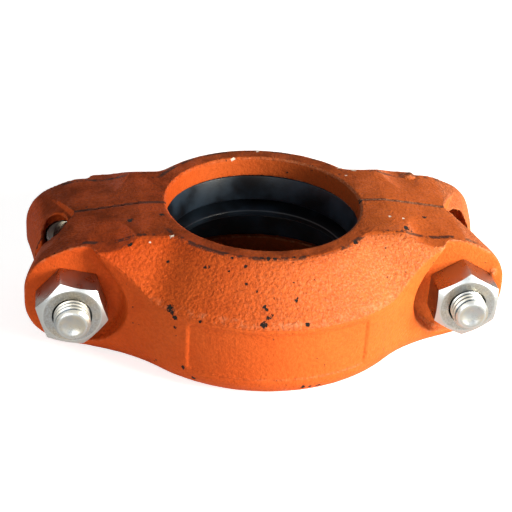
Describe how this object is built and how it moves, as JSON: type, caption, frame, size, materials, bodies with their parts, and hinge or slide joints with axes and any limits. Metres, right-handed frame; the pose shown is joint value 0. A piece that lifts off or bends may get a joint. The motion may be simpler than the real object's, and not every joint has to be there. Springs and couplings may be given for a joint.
{
  "type": "reducing grooved pipe coupling",
  "caption": "Bolted two-piece clamp with a rubber ring seal that joins a larger grooved pipe end to a smaller one.",
  "frame": {"origin": "on the pipes' axis, in the plane of the lower face, under the large pipe's side", "axes": "+Z along the pipes from the large one to the small one, X along the two bolt ears, nuts towards -Y"},
  "size_m": [0.1736, 0.1196, 0.0476],
  "materials": {
    "orange_paint": "orange paint over rough cast iron, worn at the edges",
    "black_rubber": "smooth black rubber",
    "zinc_plating": "bright zinc plate"
  },
  "bodies": {
    "rear_half": {"rear_housing": "orange_paint", "left_bolt": "zinc_plating", "right_bolt": "zinc_plating"},
    "front_half": {"front_housing": "orange_paint"},
    "seal": {"gasket": "black_rubber"},
    "left_nut_body": {"left_nut": "zinc_plating"},
    "right_nut_body": {"right_nut": "zinc_plating"}
  },
  "joints": [
    {"name": "front_slide", "type": "slide", "parent": "rear_half", "child": "front_half", "axis": [0, -1, 0], "range_m": [0, 0.01465]},
    {"name": "gasket_slide", "type": "slide", "parent": "rear_half", "child": "seal", "axis": [0, -1, 0], "range_m": [0, 0.00733]},
    {"name": "left_nut_spin", "type": "hinge", "parent": "front_half", "child": "left_nut_body", "pos_m": [-0.0703, -0.03175, 0.0238], "axis": [0, -1, 0], "range_deg": [0, 2700]},
    {"name": "right_nut_spin", "type": "hinge", "parent": "front_half", "child": "right_nut_body", "pos_m": [0.0703, -0.03175, 0.0238], "axis": [0, -1, 0], "range_deg": [0, 2700]}
  ],
  "couplings": [
    {"joint": "left_nut_spin", "follows": "front_slide", "rad_per_m": 3215.8},
    {"joint": "right_nut_spin", "follows": "front_slide", "rad_per_m": 3215.8},
    {"joint": "gasket_slide", "follows": "front_slide", "ratio": 0.5}
  ]
}
